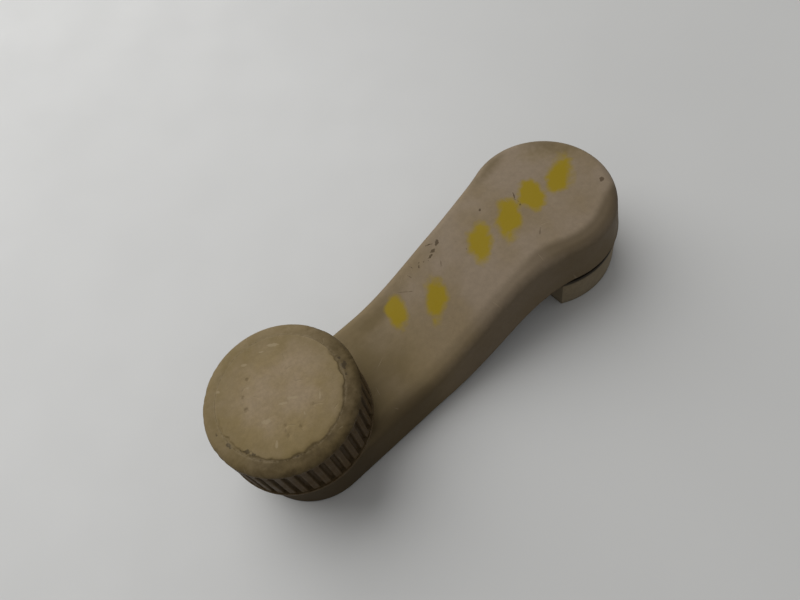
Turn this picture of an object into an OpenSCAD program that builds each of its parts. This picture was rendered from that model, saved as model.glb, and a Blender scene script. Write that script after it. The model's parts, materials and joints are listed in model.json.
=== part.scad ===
// Window crank handle: a moulded arm with a splined hub at one end and a fluted turning knob at the other.
// The origin is on the hub axis at the door-side face. +X runs to the knob and +Z away from the door.

/* [Hub] */
// Radius of the hub end just below its rounded top edge
hub_r = 20.4; // [19.6:0.1:21.5]
// Height of the hub's top over the door-side face
hub_h = 25; // [24.4:0.2:28]
// How far the lower boss stands out past the slope of the cover's sides
boss_step = -0.3; // [-1.2:0.1:0.4]
// Outward slope of the lower boss, in degrees
boss_draft = 1.5; // [0:0.5:4]
// Height of the lower boss
boss_h = 10.9; // [10.4:0.1:12]
// Open slit between the boss and the cover
slit = 1.6; // [0.8:0.1:2]
// Distance from the hub axis to the flat where the boss stops on the arm side
flat_x = 10.8; // [10.4:0.1:12]

/* [Arm] */
// Distance from the hub axis to the knob axis
throw = 88.5; // [84:0.5:110]
// Radius of the arm's round end at its top, under the knob
end_r = 16.1; // [15:0.1:16.8]
// Half width of the arm's sides carried back to the hub axis
waist_r = 15.9; // [15.4:0.1:17]
// Radius of the hollow neck between hub and arm
neck_r = 74; // [50:1:90]
// Height of the arm's top at the knob end
end_h = 12.7; // [12.2:0.1:13.8]
// Height of the arm's lower edge over the door-side face
skirt_lift = 2.2; // [1.2:0.1:2.6]
// Radius of the rounded edge round the arm's top
edge_r = 2.9; // [2:0.1:3.6]
// Outward slope of the arm's sides, in degrees
draft = 8; // [5:0.5:9]
// Height of the arm top's crown
crown = 0.4; // [0.1:0.1:0.8]

/* [Cover walls] */
// Thickness of the cover's sides
wall = 2.2; // [1.8:0.1:2.5]
// Thickness of the cover's top
roof = 2.6; // [2.2:0.1:2.8]
// Gap between the cover and the carrier inside it
cover_gap = 0.3; // [0.2:0.05:0.5]
// Height of the round pad under the knob
pad_h = 1.2; // [0.8:0.1:1.6]
// Radius of the round pad under the knob
pad_r = 12.5; // [11:0.1:13.5]

/* [Carrier] */
// Thickness of the ribs and the outer walls of the carrier
rib = 1.6; // [1.2:0.1:2]
// Thickness of the carrier's web
web = 2.2; // [1.8:0.1:2.4]
// Number of pairs of hollow cells under the arm
cells = 5; // [4:1:7]
// Number of ribs in the ring under the hub
boss_ribs = 10; // [8:1:14]
// Depth of the hollows under the hub
boss_hollow = 9; // [7:0.5:9.5]
// Outer wall of the lower boss
boss_wall = 2.4; // [2:0.1:3]

/* [Steel strip] */
// Thickness of the steel strip in the arm
strip_t = 2.5; // [2:0.1:2.6]
// Half width of the steel strip
strip_w = 8; // [7:0.1:9]
// Radius of the strip's round end at the hub
strip_hub_r = 14; // [12.5:0.1:15]
// Radius of the strip's round end at the knob
strip_end_r = 9.5; // [8.5:0.1:10.5]

/* [Drive socket] */
// Radius of the plain round mouth of the drive socket
mouth_r = 6.2; // [6.1:0.05:6.5]
// Depth of the plain round mouth
mouth_depth = 2.6; // [2.2:0.1:2.7]
// Radius to the bottom of the serrations
root_r = 6.05; // [5.8:0.05:6.05]
// Radius to the tips of the serrations
tip_r = 5.45; // [5.3:0.05:5.6]
// Number of serrations
serrations = 32; // [24:1:36]
// Depth of the socket from the mouth to its floor
socket_depth = 15.6; // [12:0.2:17]
// Outer radius of the socket insert
insert_r = 9; // [8.6:0.1:9.2]
// Corner radius of the insert's hexagon collar
collar_r = 12.4; // [12:0.1:12.8]

/* [Retaining clip] */
// Thickness of the clip's spring steel
clip_t = 1.2; // [1:0.1:1.4]
// Width of the clip's legs
clip_w = 2; // [1.6:0.1:2.2]
// Half of the gap between the clip's legs
clip_gap = 4.9; // [4.8:0.05:5.1]
// Length of the clip's legs
clip_leg = 20.5; // [19:0.5:21.5]
// Height of the clip's middle over the door-side face
clip_z = 4.05; // [3.9:0.05:4.3]

/* [Knob] */
// Radius of the knob's fluted band
knob_r = 19.1; // [18.6:0.1:20.3]
// Height of the knob, from its underside to the edge of its top
knob_h = 20; // [19.8:0.2:23]
// Number of flutes
flutes = 40; // [30:1:44]
// Width of a flute
flute_w = 1.4; // [1.1:0.1:1.6]
// Depth of a flute
flute_d = 0.9; // [0.6:0.1:1.2]
// Plain band between the flutes and the knob's rounded shoulder
flute_land = 0.3; // [0.2:0.1:1]
// Width of the knob's rounded shoulder
shoulder_w = 3.4; // [2.8:0.1:3.8]
// Height of the knob's rounded shoulder
shoulder_h = 1.8; // [1.2:0.1:2.4]
// Height of the plain foot under the rim
foot_h = 3.4; // [3.2:0.1:4]
// Height of the rim under the flutes
rim_h = 1; // [0.8:0.1:1.3]
// How far the rim stands out from the band
rim_out = 0.3; // [0.2:0.05:0.5]
// Number of ribs inside the knob
knob_ribs = 6; // [6:1:9]
// Outer wall of the knob
knob_wall = 3.2; // [3:0.1:3.6]
// Thickness of the disc at its edge
cap_t = 2.3; // [2:0.1:2.6]
// Rise of the disc from its edge to its middle
cap_crown = 0.5; // [0.2:0.1:0.9]

/* [Spindle] */
// Radius of the spindle that the knob turns on
spindle_r = 4; // [3.6:0.05:4.2]
// Running clearance of the knob's bush on the spindle, on the radius
run_gap = 0.05; // [0.02:0.01:0.09]
// Radius of the collar that stands on the strip
post_r = 6; // [5.6:0.1:6.4]
// Radius of the spindle's riveted tail in the strip
tail_r = 3.5; // [3:0.1:3.6]
// Radius of the riveted head
head_r = 5.6; // [5:0.1:6]
// Height of the riveted head
head_h = 1.7; // [1.3:0.1:1.7]
// Thickness of the washer over the riveted head
backing_t = 0.8; // [0.5:0.1:0.8]
// Thickness of the thrust washer under the knob
thrust_t = 0.8; // [0.6:0.1:1.2]
// Outer radius of the knob's bush
bush_r = 6; // [5.6:0.1:6.4]
// Length of the bush's barrel over its flange
bush_len = 13.4; // [12:0.1:13.6]
// Thickness of the spring washer
wave_t = 0.3; // [0.2:0.05:0.35]
// Thickness of the retaining ring
ring_t = 0.7; // [0.6:0.05:0.8]

/* [Fits] */
// Gap between pieces that are seated in each other
seat = 0.05; // [0.03:0.01:0.08]
// Gap over and under a piece that slides or turns on another
float = 0.2; // [0.1:0.05:0.25]

/* [Hidden] */
$fn = 96;
far = 60;
lap = 0.01;

// How many straight steps each stretch of the arm's plan and profile takes
hub_steps = 18;
neck_steps = 5;
side_steps = 12;
end_steps = 14;
round_steps = 5;
fall_steps = 18;

// Places along the arm where its top falls and where the skirt comes down
fall_from = collar_r + 0.6;
fall_run = 0.53 * throw;
drop_from = flat_x - 4;
drop_run = 0.53 * throw;

// How far in from the edge the top's crown rises, first steeply and then gently
crown_near = 0.45 * end_r;
crown_far = 0.75 * end_r;

// Heights of the layers in the arm, measured down from its top
strip_top = roof + 0.25;
strip_low = strip_top + strip_t;
carrier_top = strip_low + seat;
recess_h = boss_h - 1;
end_recess_h = 4.3;
boss_edge = 0.3;

// Heights of the knob's layers, measured from the door-side face
pad_z = end_h + pad_h;
bush_z = pad_z + thrust_t + float / 2;
flange_t = 0.9;
flange_r = 8.6;
knob_z = bush_z + 0.3;
knob_top = knob_z + knob_h;
rim_z = knob_z + foot_h;
flute_z = rim_z + rim_h;
flute_h = knob_top - shoulder_h - flute_land - flute_z;
bush_top = bush_z + flange_t + bush_len;
wave_rise = 0.22;
ring_z = bush_top + wave_t + 2 * wave_rise + 0.1;
spindle_top = ring_z + ring_t + 1;
cap_z = knob_top - cap_t;
cap_r = knob_r - shoulder_w - 0.1;
cap_ring = 1.4;
cap_skirt = 3.4;
knob_tube_r = bush_r + seat + 2.3;

// The retaining ring's groove, the ring's band measured out from the spindle, its mouth and its prongs
groove_d = 0.8;
ring_play = 0.1;
band_from = 0.7;
band_to = 2.4;
mouth_step = 1;
prong_l = 2;
prong_w = 2.4;

// The socket insert's layers
collar_h = 4.9;
tenon_r = 7;
tenon_flat = 5.8;
insert_top = hub_h - carrier_top;

// The clip's slot
slot_h = clip_t + 2 * float;
slot_z = clip_z - slot_h / 2;
bow_x = flat_x - 0.3;
toe = 1;
toe_l = 1.6;

// A smooth step from 0 to 1
function ease(t) = let (u = min(1, max(0, t))) u * u * (3 - 2 * u);

// The height of the arm's top, of the cover's lower edge and of the carrier's underside at x
function top_z(x) = hub_h - (hub_h - end_h) * ease((x - fall_from) / fall_run);
function skirt_z(x) = boss_h + slit - (boss_h + slit - skirt_lift) * ease((x - drop_from) / drop_run);
function recess_z(x) = recess_h - (recess_h - end_recess_h) * ease((x - throw / 3) / (throw / 3));

// How far the side has sloped outwards at depth h under the arm's top
function side_out(h) = (h - edge_r * (1 - sin(draft))) * tan(draft);

// The boss runs on from the slope of the cover's sides and widens a little to the door side
boss_top_r = hub_r + side_out(hub_h - boss_h - slit) + boss_step;
boss_r = boss_top_r + boss_h * tan(boss_draft);

// The neck is an arc that touches the hub's circle and the arm's straight side
tilt = asin((waist_r - end_r) / throw);
neck_rise = (waist_r + neck_r) / cos(tilt);
neck_root = sqrt(pow((hub_r + neck_r) / cos(tilt), 2) - pow(neck_rise, 2));
neck_x = (neck_rise * tan(tilt) + neck_root) * pow(cos(tilt), 2);
neck_y = neck_rise - neck_x * tan(tilt);
neck_a = atan2(neck_y, neck_x);
side_from = [neck_x - neck_r * sin(tilt), neck_y - neck_r * cos(tilt)];
side_to = [throw + end_r * sin(tilt), end_r * cos(tilt)];

// One half of the arm's plan, from the hub's outer end to the knob's: each entry is a point and its outward normal
function on_arc(cx, cy, r, a, out) = [cx + r * cos(a), cy + r * sin(a), out * cos(a), out * sin(a)];
function on_side(t) = [side_from[0] + (side_to[0] - side_from[0]) * t,
                       side_from[1] + (side_to[1] - side_from[1]) * t, sin(tilt), cos(tilt)];
half_edge = concat(
    [for (i = [0 : hub_steps - 1]) on_arc(0, 0, hub_r, 180 - (180 - neck_a) * i / hub_steps, 1)],
    [for (i = [0 : neck_steps - 1])
        on_arc(neck_x, neck_y, neck_r, 180 + neck_a + (90 - tilt - neck_a) * i / neck_steps, -1)],
    [for (i = [0 : side_steps - 1]) on_side(i / side_steps)],
    [for (i = [0 : end_steps]) on_arc(throw, 0, end_r, (90 - tilt) * (1 - i / end_steps), 1)]);
half_n = len(half_edge) - 1;
ring_n = 2 * half_n;
edge = [for (i = [0 : ring_n - 1]) let (e = half_edge[i <= half_n ? i : ring_n - i], s = i <= half_n ? 1 : -1)
    [e[0], s * e[1], e[2], s * e[3]]];

// The plan pushed inwards by inset
function plan(inset) = [for (e = edge) [e[0] - inset * e[2], e[1] - inset * e[3]]];
// A ring of the skin near the top, pushed inwards by inset and lowered by drop
function top_ring(inset, drop) = [for (p = plan(inset)) [p[0], p[1], top_z(p[0]) - drop]];
// A ring of the skin on the sides, share of the way down from depth start to the skirt, pushed inwards by inset
function side_ring(inset, start, share) = [for (e = edge)
    let (depth = start + (top_z(e[0]) - skirt_z(e[0]) - start) * share, o = side_out(depth) - inset)
    [e[0] + o * e[2], e[1] + o * e[3], top_z(e[0]) - depth]];

// Faces of a skin that runs through rings of points and is closed across the arm at both ends
function skin_faces(rings) = let (n = ring_n, last = (rings - 1) * n) concat(
    [for (k = [0 : rings - 2]) for (i = [0 : n - 1]) let (j = (i + 1) % n, a = k * n, b = a + n)
        each [[a + i, b + i, b + j], [a + i, b + j, a + j]]],
    [for (i = [0 : half_n - 1]) let (j = (n - i) % n)
        each (i == 0 ? [[0, 1, n - 1]] : i == half_n - 1 ? [[i, i + 1, j]]
            : [[i, i + 1, j], [i + 1, j - 1, j]])],
    [for (i = [0 : half_n - 1]) let (j = (n - i) % n)
        each (i == 0 ? [[last, last + n - 1, last + 1]] : i == half_n - 1 ? [[last + i, last + j, last + i + 1]]
            : [[last + i, last + j, last + i + 1], [last + i + 1, last + j, last + j - 1]])]);

// The outer skin from the crown down, then the inner skin from the lower edge up
round_end = 90 - draft;
outer_skin = concat(
    [top_ring(crown_far, -crown), top_ring(crown_near, -0.6 * crown)],
    [for (i = [0 : round_steps]) let (a = round_end * i / round_steps)
        top_ring(edge_r * (cos(draft) - sin(a)), edge_r * (1 - cos(a)))],
    [side_ring(0, edge_r * (1 - sin(draft)), 0.5), side_ring(0, edge_r * (1 - sin(draft)), 1)]);
inner_skin = [side_ring(wall, roof + 1.5, 1), side_ring(wall, roof + 1.5, 0),
              top_ring(wall + 1.4 - side_out(roof + 1.5), roof), top_ring(crown_near, roof)];
cover_skin = concat(outer_skin, inner_skin);

// The solid under a line along the arm, between the heights low and high, given as functions of x
line_x = concat([-far], [for (i = [0 : fall_steps]) fall_from + fall_run * i / fall_steps], [throw + far]);
module arm_band(low, high) {
    rotate([90, 0, 0]) linear_extrude(2 * far, center = true)
        polygon(concat([for (x = line_x) [x, low(x)]],
                       [for (i = [len(line_x) - 1 : -1 : 0]) [line_x[i], high(line_x[i])]]));
}

// A tube or a disc with a hole, standing on z
module washer(outer, inner, z, t) {
    translate([0, 0, z]) difference() {
        cylinder(r = outer, h = t);
        translate([0, 0, -1]) cylinder(r = inner, h = t + 2);
    }
}

// A block that is centred on Y
module block(x0, x1, half_y, z0, z1) {
    translate([x0, -half_y, z0]) cube([x1 - x0, 2 * half_y, z1 - z0]);
}

lug_l = 6;
lug_h = 1.5;
// Moulded lugs inside the cover that snap under the carrier's edge
module snap_lugs() {
    for (x = [0.42 * throw, 0.72 * throw]) {
        z = recess_z(x + lug_l / 2) - lug_h - float;
        intersection() {
            block(x - lug_l / 2, x + lug_l / 2, far, z, z + lug_h);
            linear_extrude(hub_h) difference() {
                polygon(plan(wall / 2 - side_out(top_z(x) - z)));
                polygon(plan(wall + cover_gap + 0.9));
            }
        }
    }
}

// Outer shell of the arm and the hub, moulded in one piece and open underneath
module arm_cover() {
    color("#7b6e5b") difference() {
        union() {
            polyhedron(points = [for (r = cover_skin) each r], faces = skin_faces(len(cover_skin)));
            translate([throw, 0, end_h - 1]) cylinder(r = pad_r, h = 1 + pad_h);
            snap_lugs();
        }
        translate([throw, 0, 0]) cylinder(r = post_r + float, h = far);
    }
}

// The lower boss up to its flat, with a small bevel at the door side
module boss_block() {
    intersection() {
        rotate_extrude()
            polygon([[0, 0], [boss_r - boss_edge, 0], [boss_r, boss_edge], [boss_top_r, boss_h], [0, boss_h]]);
        block(-far, flat_x, far, -1, far);
    }
}

// Hollows round the drive socket, parted by ribs that run out to the boss's wall
module boss_hollows() {
    difference() {
        translate([0, 0, -1]) cylinder(r = boss_top_r - boss_wall, h = 1 + boss_hollow);
        translate([0, 0, -2]) cylinder(r = insert_r + seat + 2.8, h = 3 + boss_hollow);
        block(flat_x - boss_wall, boss_r, boss_r, -2, boss_hollow + 1);
        for (i = [0 : boss_ribs - 1]) rotate([0, 0, 360 * (i + 0.5) / boss_ribs])
            block(insert_r + 1, boss_r, rib / 2, -2, boss_hollow + 1);
    }
}

// Hollow cells under the arm, up to the web
module arm_cells() {
    from_x = hub_r + 2;
    pitch = (throw - pad_r - from_x) / cells;
    intersection() {
        linear_extrude(hub_h) polygon(plan(wall + cover_gap + rib));
        arm_band(function(x) -1, function(x) top_z(x) - carrier_top - web);
        for (i = [0 : cells - 1], s = [-1, 1]) translate([from_x + pitch * i, s > 0 ? rib / 2 : -far, -1])
            cube([pitch - rib, far - rib / 2, far]);
    }
}

// Carrier inside the cover, moulded in one piece with the lower boss
module arm_carrier() {
    color("#4b4a40") difference() {
        union() {
            boss_block();
            intersection() {
                linear_extrude(hub_h) polygon(plan(wall + cover_gap));
                arm_band(function(x) recess_z(x), function(x) top_z(x) - carrier_top);
            }
        }
        boss_hollows();
        arm_cells();
        translate([0, 0, -1]) cylinder(r = insert_r + seat, h = far);
        translate([0, 0, insert_top - collar_h]) cylinder(r = collar_r + seat, h = far, $fn = 6);
        block(bow_x - clip_leg - 1, far, clip_gap + clip_w + toe + 2 * float, slot_z, slot_z + slot_h);
        translate([throw, 0, -1]) cylinder(r = strip_end_r - 1.5, h = far);
    }
}

// Pressed steel strip that ties the drive socket to the spindle and follows the fall of the arm
module core_strip() {
    color("#8d8f90") difference() {
        intersection() {
            linear_extrude(hub_h) union() {
                circle(r = strip_hub_r);
                translate([throw, 0]) circle(r = strip_end_r);
                translate([0, -strip_w]) square([throw, 2 * strip_w]);
            }
            arm_band(function(x) top_z(x) - strip_low, function(x) top_z(x) - strip_top);
        }
        intersection() {
            cylinder(r = tenon_r + seat, h = far);
            block(-far, far, tenon_flat + seat, 0, far);
        }
        translate([throw, 0, 0]) cylinder(r = tail_r + seat, h = far);
    }
}

// Toothed outline of the drive socket: a root and a tip in turn
module serration_plan() {
    polygon([for (i = [0 : 2 * serrations - 1]) let (r = i % 2 == 0 ? root_r : tip_r, a = 180 * i / serrations)
        [r * cos(a), r * sin(a)]]);
}

// Metal insert with a plain round mouth, serrations, slots for the clip and a tenon with two flats
module drive_insert() {
    color("#9a9b98") difference() {
        union() {
            cylinder(r = insert_r, h = insert_top);
            translate([0, 0, insert_top - collar_h]) cylinder(r = collar_r, h = collar_h, $fn = 6);
            intersection() {
                translate([0, 0, insert_top - 1]) cylinder(r = tenon_r, h = 1 + seat + strip_t);
                block(-far, far, tenon_flat, 0, far);
            }
        }
        translate([0, 0, -1]) cylinder(r = mouth_r, h = 1 + mouth_depth);
        translate([0, 0, 0.5 * mouth_depth]) linear_extrude(socket_depth - 0.5 * mouth_depth) serration_plan();
        for (s = [0, 1]) mirror([0, s, 0])
            translate([-far, clip_gap - float, slot_z]) cube([2 * far, far, slot_h]);
    }
}

// Horseshoe spring clip that grips the groove of the door's shaft
module retaining_clip() {
    color("#5d5f60") translate([bow_x, 0, clip_z - clip_t / 2]) linear_extrude(clip_t) {
        intersection() {
            difference() {
                circle(r = clip_gap + clip_w);
                circle(r = clip_gap);
            }
            translate([0, -far]) square(2 * far);
        }
        for (s = [0, 1]) mirror([0, s]) {
            translate([-clip_leg, clip_gap]) square([clip_leg + lap, clip_w]);
            translate([-clip_leg, clip_gap]) square([toe_l, clip_w + toe]);
        }
    }
}

// Stepped steel spindle, riveted into the strip, with a groove for the retaining ring
module knob_spindle() {
    tail_z = end_h - strip_low - backing_t;
    color("#a3a5a6") translate([throw, 0, 0]) rotate_extrude() polygon([
        [0, tail_z - head_h], [0.7 * head_r, tail_z - head_h], [0.9 * head_r, tail_z - 0.7 * head_h],
        [head_r, tail_z], [tail_r, tail_z], [tail_r, end_h - strip_top], [post_r, end_h - strip_top],
        [post_r, pad_z], [spindle_r, pad_z], [spindle_r, ring_z], [spindle_r - groove_d, ring_z],
        [spindle_r - groove_d, ring_z + ring_t + ring_play], [spindle_r, ring_z + ring_t + ring_play],
        [spindle_r, spindle_top - 0.6], [spindle_r - 0.6, spindle_top], [0, spindle_top]]);
}

// Washer between the strip and the riveted head
module backing_washer() {
    color("#8d8f90") translate([throw, 0, 0])
        washer(head_r + 1.4, tail_r + seat, end_h - strip_low - backing_t, backing_t);
}

// Washer that the knob turns on
module thrust_washer() {
    color("#d8d6cc") translate([throw, 0, 0]) washer(flange_r, spindle_r + float, pad_z, thrust_t);
}

// Thin spring washer with three waves that takes the rattle out of the knob
module wave_washer() {
    steps = 48;
    mid = bush_top + 0.05 + wave_t / 2 + wave_rise;
    function corner(a, r, s) = [r * cos(a), r * sin(a), mid + wave_rise * sin(3 * a) + s * wave_t / 2];
    points = [for (i = [0 : steps - 1]) let (a = 360 * i / steps)
        each [corner(a, spindle_r + 0.3, -1), corner(a, bush_r + 1, -1), corner(a, bush_r + 1, 1),
              corner(a, spindle_r + 0.3, 1)]];
    faces = [for (i = [0 : steps - 1], k = [0 : 3])
        let (a = 4 * i, b = 4 * ((i + 1) % steps), m = (k + 1) % 4)
        each [[a + k, b + k, b + m], [a + k, b + m, a + m]]];
    color("#a3a5a6") translate([throw, 0, 0]) polyhedron(points = points, faces = faces);
}

// Open spring ring with three inner prongs, pushed into the spindle's groove from the side
module retaining_ring() {
    color("#8d8f90") translate([throw, 0, ring_z + ring_play / 2]) linear_extrude(ring_t) difference() {
        union() {
            difference() {
                circle(r = spindle_r + band_to);
                circle(r = spindle_r + band_from);
                translate([-far, mouth_step - spindle_r]) square([far, 2 * (spindle_r - mouth_step)]);
            }
            for (a = [0, 120, 240]) rotate(a) translate([spindle_r - groove_d, -prong_w / 2])
                square([prong_l, prong_w]);
        }
        circle(r = spindle_r - groove_d + seat);
    }
}

// Low-friction bush pressed into the knob, with a flange that runs on the thrust washer
module knob_bush() {
    color("#e4e0d2") translate([throw, 0, 0]) rotate_extrude() polygon([
        [spindle_r + run_gap, bush_z], [flange_r, bush_z], [flange_r, bush_z + flange_t],
        [bush_r, bush_z + flange_t], [bush_r, bush_top], [spindle_r + run_gap, bush_top]]);
}

// The knob's outer form: foot, rim, band and rounded shoulder, round a seat for the disc
module knob_form() {
    waist = knob_r - 2.2;
    shoulder = [for (i = [0 : 8]) let (a = 90 * i / 8)
        [knob_r - shoulder_w * (1 - cos(a)), knob_top - shoulder_h * (1 - sin(a))]];
    rotate_extrude() polygon(concat(
        [[0, knob_z], [waist - 1, knob_z], [waist, knob_z + 1], [waist + 0.3, rim_z - 0.8],
         [knob_r + rim_out, rim_z], [knob_r + rim_out, flute_z], [knob_r, flute_z]],
        shoulder, [[0, knob_top]]));
}

// One flute: a slot with a square foot on the rim and a round top end
module flute() {
    translate([knob_r - flute_d, 0, flute_z + 0.1]) rotate([90, 0, 90]) linear_extrude(far) {
        translate([-flute_w / 2, 0]) square([flute_w, flute_h - flute_w / 2]);
        translate([0, flute_h - flute_w / 2]) circle(r = flute_w / 2, $fn = 24);
    }
}

// Fluted hollow knob with a tube for the bush, open at the top
module knob_grip() {
    floor_z = flute_z - rib;
    color("#7a6b4c") translate([throw, 0, 0]) difference() {
        knob_form();
        for (i = [0 : flutes - 1]) rotate([0, 0, 360 * i / flutes]) flute();
        translate([0, 0, cap_z - seat]) cylinder(r = cap_r + seat, h = far);
        difference() {
            translate([0, 0, floor_z]) cylinder(r = knob_r - flute_d - knob_wall, h = cap_z - floor_z);
            translate([0, 0, floor_z - 1]) cylinder(r = knob_tube_r, h = bush_top - floor_z + 1);
            for (i = [0 : knob_ribs - 1]) rotate([0, 0, 360 * (i + 0.5) / knob_ribs])
                block(0, far, rib / 2, floor_z - 1, cap_z - cap_skirt - 0.8);
        }
        translate([0, 0, knob_z - 1]) cylinder(r = bush_r + seat, h = far);
        translate([0, 0, knob_z - 1]) cylinder(r = flange_r + seat, h = 1 + bush_z + flange_t + seat - knob_z);
    }
}

// Slightly crowned disc that snaps into the knob's top, with a ring that fits over the knob's tube
module knob_cap() {
    ring_r = knob_tube_r + float;
    crown_top = [for (i = [0 : 10]) let (t = i / 10)
        [(cap_r - 0.5) * (1 - t), knob_top + cap_crown * (1 - pow(1 - t, 2))]];
    color("#83735a") translate([throw, 0, 0]) rotate_extrude() polygon(concat(
        [[0, cap_z], [ring_r, cap_z], [ring_r, cap_z - cap_skirt], [ring_r + cap_ring, cap_z - cap_skirt],
         [ring_r + cap_ring, cap_z], [cap_r, cap_z], [cap_r, knob_top - 0.4]], crown_top));
}

arm_cover();
arm_carrier();
core_strip();
drive_insert();
retaining_clip();
knob_spindle();
backing_washer();
thrust_washer();
wave_washer();
retaining_ring();
knob_bush();
knob_grip();
knob_cap();
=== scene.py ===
# Window crank handle lying on a pale floor: worn moulded plastic, steel inside, seen as in the photo.
import json
import math

import bmesh
import bpy
import numpy as np
from mathutils import Matrix, Vector, noise


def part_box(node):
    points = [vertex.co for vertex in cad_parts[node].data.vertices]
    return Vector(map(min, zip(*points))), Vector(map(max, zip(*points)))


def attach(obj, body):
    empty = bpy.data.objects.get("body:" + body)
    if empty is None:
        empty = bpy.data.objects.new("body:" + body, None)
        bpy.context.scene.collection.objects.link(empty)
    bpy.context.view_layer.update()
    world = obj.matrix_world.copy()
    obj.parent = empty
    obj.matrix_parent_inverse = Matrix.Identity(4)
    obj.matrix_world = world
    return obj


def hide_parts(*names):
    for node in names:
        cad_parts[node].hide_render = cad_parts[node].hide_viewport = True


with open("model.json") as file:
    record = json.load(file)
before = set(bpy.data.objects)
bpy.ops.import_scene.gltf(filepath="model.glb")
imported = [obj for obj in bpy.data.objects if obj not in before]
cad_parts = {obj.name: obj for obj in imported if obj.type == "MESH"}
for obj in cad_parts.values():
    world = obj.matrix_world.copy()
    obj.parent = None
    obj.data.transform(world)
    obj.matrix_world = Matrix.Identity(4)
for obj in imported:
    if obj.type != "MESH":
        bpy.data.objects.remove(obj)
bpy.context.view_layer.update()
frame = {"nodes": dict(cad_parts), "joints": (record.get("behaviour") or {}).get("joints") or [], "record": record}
nodes = frame["nodes"]
mm = 0.001
knobX = next(j for j in frame["joints"] if j["name"] == "knob_spin")["pos_m"][0] / mm
print("frame loaded:", len(nodes), "pieces, knob axis at", round(knobX, 2), "mm")


# Small helpers for meshes, all sizes in millimetres

def ease(t):  # a soft step from 0 to 1
    u = np.clip(t, 0, 1)
    return u * u * (3 - 2 * u)


def addObject(name, data):
    made = bpy.data.objects.new(name, data)
    bpy.context.scene.collection.objects.link(made)
    return made


def smooth(mesh, sharpAngle=35):
    mesh.shade_smooth()
    mesh.set_sharp_from_angle(angle=math.radians(sharpAngle))


def meshPiece(name, points, faces, sharpAngle=35):
    mesh = bpy.data.meshes.new(name)
    mesh.from_pydata((np.asarray(points) * mm).tolist(), [], faces)
    work = bmesh.new()
    work.from_mesh(mesh)
    bmesh.ops.recalc_face_normals(work, faces=work.faces)
    work.to_mesh(mesh)
    work.free()
    smooth(mesh, sharpAngle)
    return addObject(name, mesh)


def boxPiece(name, xs, ys, zs):
    corners = [(x, y, z) for x in xs for y in ys for z in zs]
    sides = [(0, 1, 3, 2), (4, 6, 7, 5), (0, 4, 5, 1), (2, 3, 7, 6), (0, 2, 6, 4), (1, 5, 7, 3)]
    return meshPiece(name, corners, sides)


def ringFaces(ringCount, around):  # quads between closed rings of points
    faces = []
    for k in range(ringCount - 1):
        for i in range(around):
            j = (i + 1) % around
            faces.append((k * around + i, (k + 1) * around + i, (k + 1) * around + j, k * around + j))
    return faces


def crossFaces(first, around):  # closes a symmetric ring with strips from one side to the other
    half = around // 2
    faces = [(first, first + 1, first + around - 1)]
    for i in range(1, half - 1):
        faces.append((first + i, first + i + 1, first + around - i - 1, first + around - i))
    faces.append((first + half - 1, first + half, first + half + 1))
    return faces


def roundCorners(profile, steps=4, mostOfSide=0.45):  # profile entries are (r, z, corner radius)
    rounded = []
    for i, (r, z, size) in enumerate(profile):
        here = np.array([r, z], float)
        before = np.array(profile[i - 1][:2], float) - here
        after = np.array(profile[(i + 1) % len(profile)][:2], float) - here
        lenBefore, lenAfter = np.linalg.norm(before), np.linalg.norm(after)
        if size <= 0 or min(lenBefore, lenAfter) < 1e-6:
            rounded.append(here)
            continue
        reach = min(size, mostOfSide * lenBefore, mostOfSide * lenAfter)
        start, end = here + before / lenBefore * reach, here + after / lenAfter * reach
        for t in np.linspace(0, 1, steps + 1):
            rounded.append((1 - t) ** 2 * start + 2 * t * (1 - t) * here + t * t * end)
    return rounded


def evenAngles(count):
    return np.arange(count) * 2 * math.pi / count


def lathe(name, profile, angles, shape=None, sharpAngle=35):  # turns a closed profile round the knob's axis
    points = []
    for r, z in profile:
        for a in angles:
            rr, zz = shape(r, z, a) if shape else (r, z)
            points.append((knobX + rr * math.cos(a), rr * math.sin(a), zz))
    around = len(angles)
    last = (len(profile) - 1) * around
    faces = ringFaces(len(profile), around)
    faces += [(last + i, i, (i + 1) % around, last + (i + 1) % around) for i in range(around)]
    return meshPiece(name, points, faces, sharpAngle)


def cutRound(piece, radius, low, high, sides=128):  # a round hole on the knob's axis
    bpy.ops.mesh.primitive_cylinder_add(vertices=sides, radius=radius * mm, depth=(high - low) * mm,
                                        location=(knobX * mm, 0, (low + high) / 2 * mm))
    cutter = bpy.context.object
    cut = piece.modifiers.new("hole", "BOOLEAN")
    cut.operation = "DIFFERENCE"
    cut.solver = "EXACT"
    cut.object = cutter
    settled = bpy.data.meshes.new_from_object(piece.evaluated_get(bpy.context.evaluated_depsgraph_get()))
    piece.modifiers.clear()
    piece.data = settled
    bpy.data.objects.remove(cutter)
    smooth(settled)


def joinPieces(pieces):
    bpy.ops.object.select_all(action="DESELECT")
    for piece in pieces:
        piece.select_set(True)
    bpy.context.view_layer.objects.active = pieces[0]
    bpy.ops.object.join()
    return pieces[0]


# The arm's cover: one skin lofted along the arm, open underneath

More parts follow.
